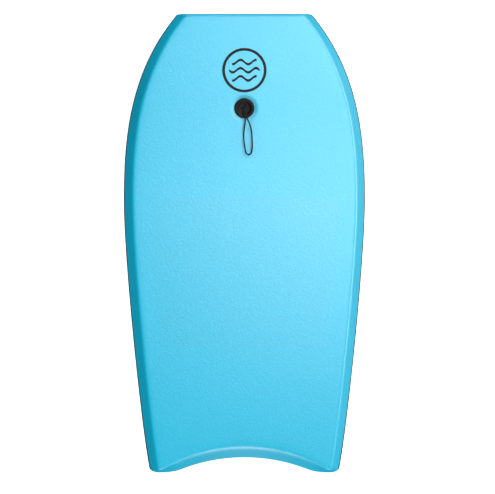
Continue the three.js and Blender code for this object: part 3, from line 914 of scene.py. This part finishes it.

# %% [markdown]
# ## Foam
#
# The deck is closed-cell cross-linked polyethylene foam. Its cells are cut or melted open at the skin,
# which gives a very fine pebble with a soft white sheen, and the colour drifts slightly from place to place.
# The hollow of each cell is also painted darker: painted shade, not the foam's own colour. Real cells are
# under half a millimetre. They are drawn at 3 mm, so that they show at all.
# The denser strips and rails use the same recipe with a tighter, smoother skin.

# %% Foam materials
def foam(name, colours, cell_mm, depth_mm, drift_mm, **shader):
    """Two tones mixed by the rounded cells over a slow noise, so each cell's hollow is darker as painted
    shade, and a bump of the same cells over a slow swell.
    """
    material, tree, skin = new_material(name, **shader)
    place_on = add(tree, "ShaderNodeTexCoord").outputs["Object"]
    slow = add(tree, "ShaderNodeTexNoise", {"Vector": place_on, "Scale": per_mm(drift_mm), "Detail": 3.0})
    cells = add(
        tree, "ShaderNodeTexVoronoi", {"Vector": place_on, "Scale": per_mm(cell_mm)}, feature="SMOOTH_F1"
    )
    both = add(
        tree, "ShaderNodeMath", {0: cells.outputs["Distance"], 1: slow.outputs["Fac"]}, operation="ADD"
    )
    share = add(
        tree, "ShaderNodeMapRange", {"Value": both.outputs[0], "From Min": 0.6, "From Max": 1.4}
    )
    # Painted shade: the tone follows the bump's height, so each cell's hollow is darker; the slow noise adds
    # a real drift of colour.
    tone = add(
        tree,
        "ShaderNodeMix",
        {"Factor": share.outputs[0], 6: linear(colours[0]), 7: linear(colours[1])},
        data_type="RGBA",
    )
    bump = add(
        tree, "ShaderNodeBump", {"Height": both.outputs[0], "Distance": depth_mm * MM, "Strength": 1.0}
    )
    link(tree, tone.outputs[2], skin, "Base Color")
    link(tree, bump.outputs[0], skin, "Normal")
    return material


sheen = {"Roughness": 0.45, "Specular_IOR_Level": 1.0}
deck_foam = foam("cross_linked_polyethylene_foam", ("#00BADE", "#0AC4EA"), 3.0, 0.2, 6.0, **sheen)
strip_foam = foam("dense_polyethylene_foam", ("#00BEE2", "#06BDE4"), 2.4, 0.08, 6.0, **sheen)
rail_foam = foam("skinned_polyethylene_foam", ("#161719", "#202123"), 2.4, 0.06, 9.0, Roughness=0.5)
bead_foam = foam("moulded_bead_foam", ("#DDE3E6", "#F0F3F4"), 4.0, 0.4, 12.0, Roughness=0.7)
print("foams:", deck_foam.name, strip_foam.name, rail_foam.name, bead_foam.name)

# %% [markdown]
# ## Plastics, string, glass tube and ink
#
# The slick is extruded polyethylene sheet: glossy, with a faint long waviness along the board from the
# rollers. The plug is moulded nylon with a fine sparked texture. The string is a round braid, drawn on
# its own UV map in millimetres. The ink lies over foam, so the foam's pebble shows through it.

# %% Other materials
def rolled_sheet():
    """Extruded high-density polyethylene: a noise stretched thirty times along the board."""
    material, tree, skin = new_material("extruded_polyethylene_sheet", Roughness=0.22, IOR=1.54)
    place_on = add(tree, "ShaderNodeTexCoord").outputs["Object"]
    drawn = add(tree, "ShaderNodeMapping", {"Vector": place_on, "Scale": (1.0, 0.033, 1.0)})
    lines = add(
        tree, "ShaderNodeTexNoise", {"Vector": drawn.outputs[0], "Scale": per_mm(9.0), "Detail": 4.0}
    )
    shine = add(tree, "ShaderNodeMapRange", {"Value": lines.outputs["Fac"], "To Min": 0.16, "To Max": 0.32})
    tone = add(
        tree,
        "ShaderNodeMix",
        {"Factor": lines.outputs["Fac"], 6: linear("#1E2024"), 7: linear("#2A2D32")},
        data_type="RGBA",
    )
    bump = add(tree, "ShaderNodeBump", {"Height": lines.outputs["Fac"], "Distance": 0.25 * MM})
    link(tree, tone.outputs[2], skin, "Base Color")
    link(tree, shine.outputs[0], skin, "Roughness")
    link(tree, bump.outputs[0], skin, "Normal")
    return material


def moulded_nylon(name, colours, roughness):
    """Glass-filled nylon from a sparked mould: a fine even grain of 0.8 mm in height, and a slow cloud of 11
    mm in colour and gloss.
    """
    material, tree, skin = new_material(name, IOR=1.53, Specular_IOR_Level=0.1)
    place_on = add(tree, "ShaderNodeTexCoord").outputs["Object"]
    grain = add(tree, "ShaderNodeTexNoise", {"Vector": place_on, "Scale": per_mm(0.8), "Detail": 2.0})
    cloud = add(tree, "ShaderNodeTexNoise", {"Vector": place_on, "Scale": per_mm(11.0), "Detail": 1.0})
    tone = add(
        tree,
        "ShaderNodeMix",
        {"Factor": cloud.outputs["Fac"], 6: linear(colours[0]), 7: linear(colours[1])},
        data_type="RGBA",
    )
    shine = add(
        tree,
        "ShaderNodeMapRange",
        {"Value": cloud.outputs["Fac"], "To Min": roughness - 0.06, "To Max": roughness + 0.06},
    )
    bump = add(tree, "ShaderNodeBump", {"Height": grain.outputs["Fac"], "Distance": 0.05 * MM})
    link(tree, tone.outputs[2], skin, "Base Color")
    link(tree, shine.outputs[0], skin, "Roughness")
    link(tree, bump.outputs[0], skin, "Normal")
    return material


def braided_polyester():
    """A round braid on the UV map: two families of sine ridges cross at the braid's angle, and the higher one
    is on top at each place. The colour is painted darker in the grooves between the strands: painted shade."""
    material, tree, skin = new_material("braided_polyester", Roughness=0.7, Specular_IOR_Level=0.2)
    lay = add(tree, "ShaderNodeSeparateXYZ", {0: add(tree, "ShaderNodeUVMap", uv_map="cord").outputs[0]})
    pitch = 2.4
    turns = np.pi * CORD / 4
    families = []
    for hand in (1, -1):
        along = add(tree, "ShaderNodeMath", {0: lay.outputs[0], 1: 2 * np.pi / pitch}, operation="MULTIPLY")
        phase = add(
            tree,
            "ShaderNodeMath",
            {0: lay.outputs[1], 1: hand * 2 * np.pi / turns, 2: along.outputs[0]},
            operation="MULTIPLY_ADD",
        )
        families.append(add(tree, "ShaderNodeMath", {0: phase.outputs[0]}, operation="SINE").outputs[0])
    ridge = add(tree, "ShaderNodeMath", {0: families[0], 1: families[1]}, operation="MAXIMUM").outputs[0]
    share = add(tree, "ShaderNodeMapRange", {"Value": ridge, "From Min": -1.0})
    # Painted shade: the colour follows the ridges, darker in the grooves between strands and lighter on their
    # crowns.
    tone = add(
        tree,
        "ShaderNodeMix",
        {"Factor": share.outputs[0], 6: linear("#060607"), 7: linear("#19191B")},
        data_type="RGBA",
    )
    bump = add(tree, "ShaderNodeBump", {"Height": share.outputs[0], "Distance": 0.3 * MM})
    link(tree, tone.outputs[2], skin, "Base Color")
    link(tree, bump.outputs[0], skin, "Normal")
    return material


def drawn_glass():
    """Pultruded glass fibre: fine streaks along the tube, in a pale amber resin."""
    material, tree, skin = new_material("pultruded_glass_fibre", Roughness=0.35, IOR=1.55)
    place_on = add(tree, "ShaderNodeTexCoord").outputs["Object"]
    drawn = add(tree, "ShaderNodeMapping", {"Vector": place_on, "Scale": (1.0, 0.02, 1.0)})
    fibre = add(tree, "ShaderNodeTexNoise", {"Vector": drawn.outputs[0], "Scale": per_mm(0.9), "Detail": 3.0})
    tone = add(
        tree,
        "ShaderNodeMix",
        {"Factor": fibre.outputs["Fac"], 6: linear("#B7B08A"), 7: linear("#E0DCC2")},
        data_type="RGBA",
    )
    bump = add(tree, "ShaderNodeBump", {"Height": fibre.outputs["Fac"], "Distance": 0.1 * MM})
    link(tree, tone.outputs[2], skin, "Base Color")
    link(tree, bump.outputs[0], skin, "Normal")
    return material


slick_plastic = rolled_sheet()
black_nylon = moulded_nylon("moulded_black_nylon", ("#101010", "#171617"), 0.42)
blue_nylon = moulded_nylon("moulded_blue_nylon", ("#1F6E8E", "#2A7FA0"), 0.34)
black_braid = braided_polyester()
glass_fibre = drawn_glass()
cap_rubber = foam("moulded_rubber", ("#2A2A2B", "#343435"), 1.2, 0.03, 5.0, Roughness=0.75)
ink = foam(
    "screen_print_ink", ("#2C282B", "#363134"), 3.0, 0.1, 5.0, Roughness=0.7, Specular_IOR_Level=0.1
)

# %% Finish each piece
finishes = {
    deck_foam: [deck],
    strip_foam: [nose_strip, tail_strip],
    rail_foam: [bpy.data.objects["rail_strip_left"], bpy.data.objects["rail_strip_right"]],
    slick_plastic: [slick],
    black_nylon: [plug_top],
    blue_nylon: [plug_base],
    black_braid: [string_loop, string_hitch],
    ink: [deck_print],
    bead_foam: [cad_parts["foam_core"]],
    glass_fibre: [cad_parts["stringer_tube"]],
    cap_rubber: [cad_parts["stringer_cap_front"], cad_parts["stringer_cap_rear"]],
}
for material, pieces in finishes.items():
    for piece in pieces:
        piece.data.materials.clear()
        piece.data.materials.append(material)
print(len(finishes), "materials on", sum(map(len, finishes.values())), "pieces")

# %% [markdown]
# ## The floor
#
# A plain white floor just under the board. It glows, so that the board lies on clean white, as it does
# in a catalogue. It throws no light on the board, as if black flags stood round it, because a white
# glare from below would wash out the colour of the chines.

# %% Floor
FLOOR_HALF = 30.0
FLOOR_DROP = 0.0005
white = bpy.data.materials.new("white_paper")
white.use_nodes = True
paper = white.node_tree.nodes["Principled BSDF"]
paper.inputs["Base Color"].default_value = (0.9, 0.9, 0.9, 1)
paper.inputs["Roughness"].default_value = 0.9
paper.inputs["Emission Color"].default_value = (1, 1, 1, 1)
paper.inputs["Emission Strength"].default_value = 1.0
corners = np.array([[-1, -1], [1, -1], [1, 1], [-1, 1]]) * FLOOR_HALF / MM
corners = np.hstack([corners, np.full((4, 1), -FLOOR_DROP / MM)])
floor = add_piece("floor", corners, [np.array([[0, 1, 2, 3]])])
floor.data.materials.append(white)
floor.visible_glossy = False
floor.visible_diffuse = False
print("floor", 2 * FLOOR_HALF, "m across")

# %% [markdown]
# ## Light
#
# The key light stands far off, ahead of the nose and to the right, forty degrees up. It gives most of the
# light, so the string throws a short clear shadow back and to the left, and the left chine falls dark.
# Weaker softboxes from the tail and both sides open the shadows. Two lamps, over the nose and low at the
# right, make the soft white sheen on the foam and light nothing else.

# %% Lights
def softbox(name, place_m, size, watts, aim=(0, 0, 0.05)):
    """An area light of a size in metres, turned so that its -Z axis points from its place to the aim."""
    lamp = bpy.data.objects.new(name, bpy.data.lights.new(name, "AREA"))
    bpy.context.scene.collection.objects.link(lamp)
    lamp.location = place_m
    lamp.rotation_euler = (Vector(aim) - Vector(place_m)).to_track_quat("-Z", "Y").to_euler()
    lamp.data.shape = "RECTANGLE"
    lamp.data.size, lamp.data.size_y = size
    lamp.data.energy = watts
    lamp.visible_camera = False
    return lamp


softbox("key", (4.92, 5.86, 6.5), (1.0, 1.0), 740)
softbox("tail_low", (0.0, -4.5, 1.8), (1.5, 1.5), 165)
softbox("left_low", (-4.3, 1.4, 2.0), (1.5, 1.5), 100).visible_glossy = False
softbox("right_low", (4.3, 0.5, 0.8), (1.5, 1.5), 62).visible_glossy = False
softbox("nose_sheen", (0.3, 0.25, 1.3), (0.8, 0.8), 15).visible_diffuse = False
softbox("right_sheen", (3.0, 0.6, 0.4), (3.0, 0.6), 90).visible_diffuse = False

world = bpy.data.worlds.new("studio")
world.use_nodes = True
world.node_tree.nodes["Background"].inputs["Color"].default_value = (1, 1, 1, 1)
world.node_tree.nodes["Background"].inputs["Strength"].default_value = 0.03
bpy.context.scene.world = world
bpy.context.scene.view_settings.view_transform = "Standard"

# %% [markdown]
# ## Finish

# %% Finish
bpy.context.view_layer.update()
